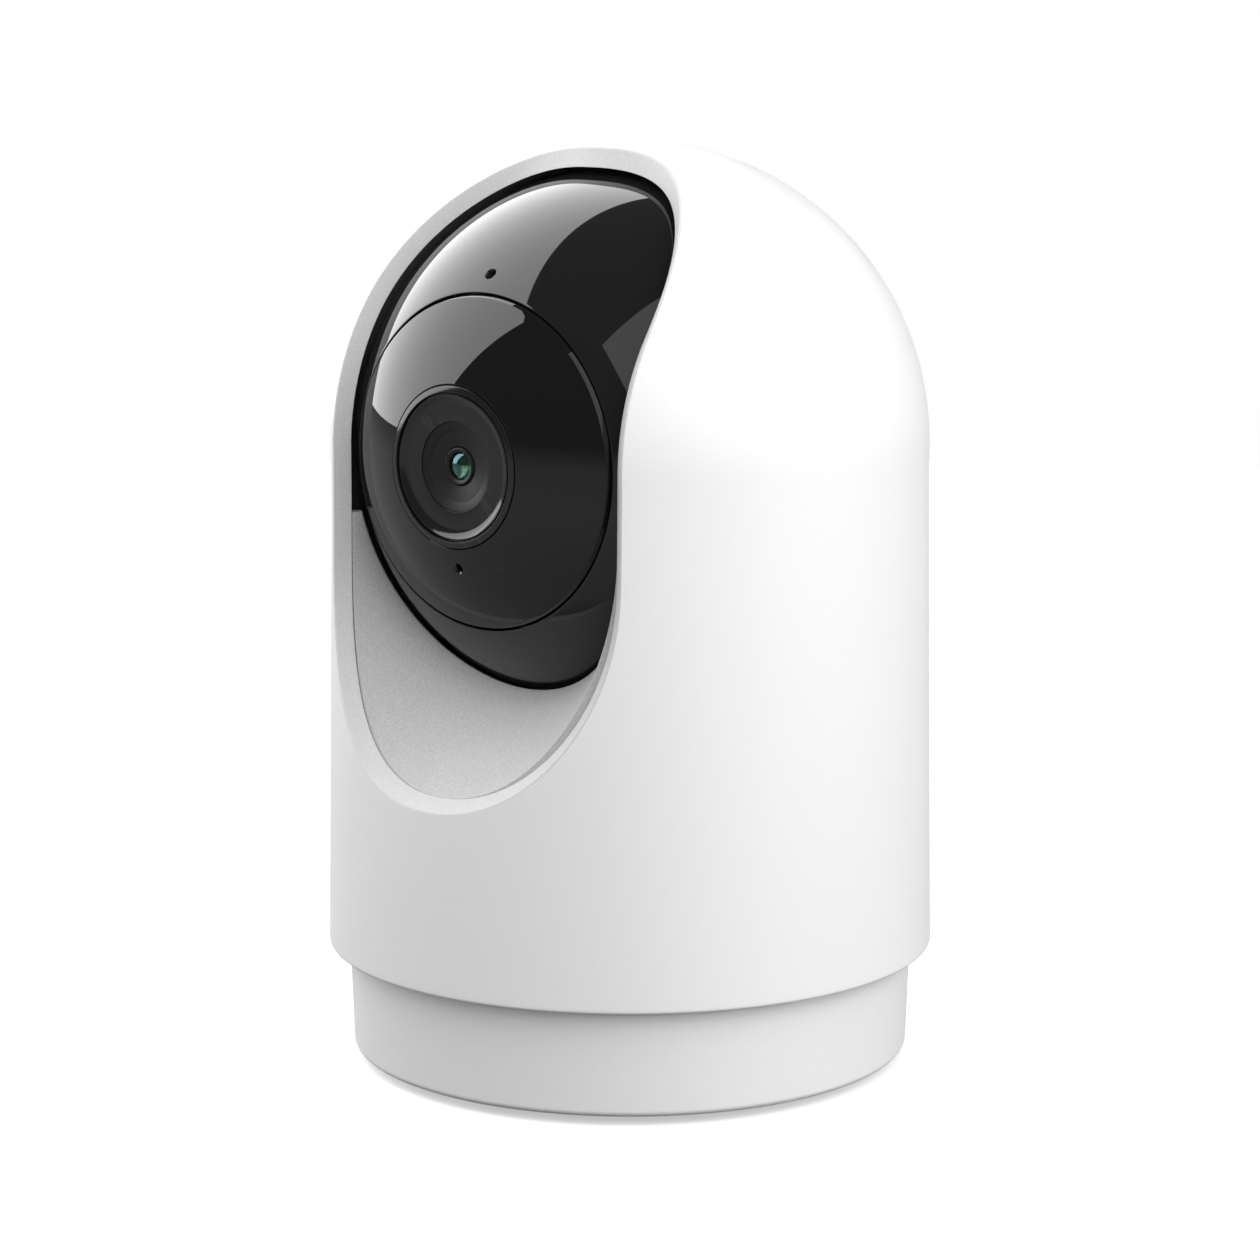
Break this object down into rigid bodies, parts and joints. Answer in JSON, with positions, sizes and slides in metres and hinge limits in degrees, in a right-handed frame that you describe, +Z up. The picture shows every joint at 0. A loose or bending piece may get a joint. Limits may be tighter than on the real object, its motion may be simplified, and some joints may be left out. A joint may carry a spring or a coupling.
{
  "type": "security camera",
  "caption": "Indoor security camera with a tilting ball lens in a domed body that pans on a round base.",
  "frame": {"origin": "on the standing surface, on the pan axis", "axes": "+Z up along the pan axis, -Y towards the scene at rest, +X to the right as seen from the front"},
  "size_m": [0.078, 0.078, 0.1174],
  "materials": {
    "white_shell": "satin",
    "white_texture": "fine spark-eroded texture",
    "inner_white": "matt",
    "black_gloss": "high gloss",
    "black_matt": "matt",
    "rubber": "matt",
    "lens_glass": "coated",
    "led_lens": "clear",
    "circuit_board": "solder mask",
    "gear_plastic": "natural",
    "ribbon": "film",
    "steel": "plain",
    "brass": "turned"
  },
  "bodies": {
    "base": {"base_housing": "white_shell", "base_bottom_plate": "inner_white", "foot_pad_1": "rubber", "foot_pad_2": "rubber", "foot_pad_3": "rubber", "foot_pad_4": "rubber", "base_screw_1": "steel", "base_screw_2": "steel", "base_screw_3": "steel", "ballast_plate": "steel", "power_board": "circuit_board", "usb_port": "steel", "tripod_insert": "brass", "pan_gear": "gear_plastic", "pan_glide_ring": "gear_plastic", "pan_retainer": "steel"},
    "pan_body": {"body_shell": "white_shell", "front_bezel": "white_texture", "turntable": "inner_white", "shell_screw_1": "steel", "shell_screw_2": "steel", "shell_screw_3": "steel", "chassis": "inner_white", "tilt_bush_right": "gear_plastic", "tilt_bush_left": "gear_plastic", "tilt_gear": "gear_plastic", "pan_motor": "steel", "speaker": "black_matt", "speaker_cone": "black_matt", "flex_cable": "ribbon"},
    "pan_pinion": {"pan_pinion": "gear_plastic", "pan_motor_shaft": "steel"},
    "ball": {"ball_front_shell": "black_gloss", "ball_rear_shell": "black_gloss", "ball_screw_1": "steel", "ball_screw_2": "steel", "face_cover": "black_gloss", "lens_ring": "black_gloss", "lens_barrel": "black_matt", "front_lens_element": "lens_glass", "lens_holder": "black_matt", "image_sensor": "black_matt", "sensor_board": "circuit_board", "ir_led_board": "circuit_board", "ir_led_1": "led_lens", "ir_led_2": "led_lens", "ir_led_3": "led_lens", "ir_led_4": "led_lens", "status_light_pipe": "led_lens", "microphone": "steel", "main_board": "circuit_board", "processor_shield": "steel", "sd_card_slot": "steel", "reset_switch": "black_matt", "tilt_motor": "steel"},
    "tilt_pinion": {"tilt_pinion": "gear_plastic", "tilt_motor_shaft": "steel"},
    "reset_button": {"reset_button": "black_matt"},
    "ir_cut_filter": {"ir_cut_filter": "lens_glass"}
  },
  "joints": [
    {"name": "pan", "type": "hinge", "parent": "base", "child": "pan_body", "pos_m": [0, 0, 0.024], "axis": [0, 0, 1], "range_deg": [-175, 175]},
    {"name": "tilt", "type": "hinge", "parent": "pan_body", "child": "ball", "pos_m": [0, 0, 0.0794], "axis": [-1, 0, 0], "range_deg": [-38, 66]},
    {"name": "pan_pinion_spin", "type": "hinge", "parent": "pan_body", "child": "pan_pinion", "pos_m": [0, -0.0176, 0.0208], "axis": [0, 0, 1], "range_deg": [-470, 470]},
    {"name": "tilt_pinion_spin", "type": "hinge", "parent": "ball", "child": "tilt_pinion", "pos_m": [0.0295, 0.0119, 0.0794], "axis": [-1, 0, 0], "range_deg": [-72, 124]},
    {"name": "reset_button_press", "type": "slide", "parent": "ball", "child": "reset_button", "axis": [0, 0.4067, 0.9135], "range_m": [0, 0.0004], "stiffness_N_per_m": 300},
    {"name": "ir_filter_shift", "type": "slide", "parent": "ball", "child": "ir_cut_filter", "axis": [-1, 0, 0], "range_m": [0, 0.0095]}
  ],
  "couplings": [
    {"joint": "pan_pinion_spin", "follows": "pan", "ratio": 2.6667},
    {"joint": "tilt_pinion_spin", "follows": "tilt", "ratio": 1.8333}
  ]
}
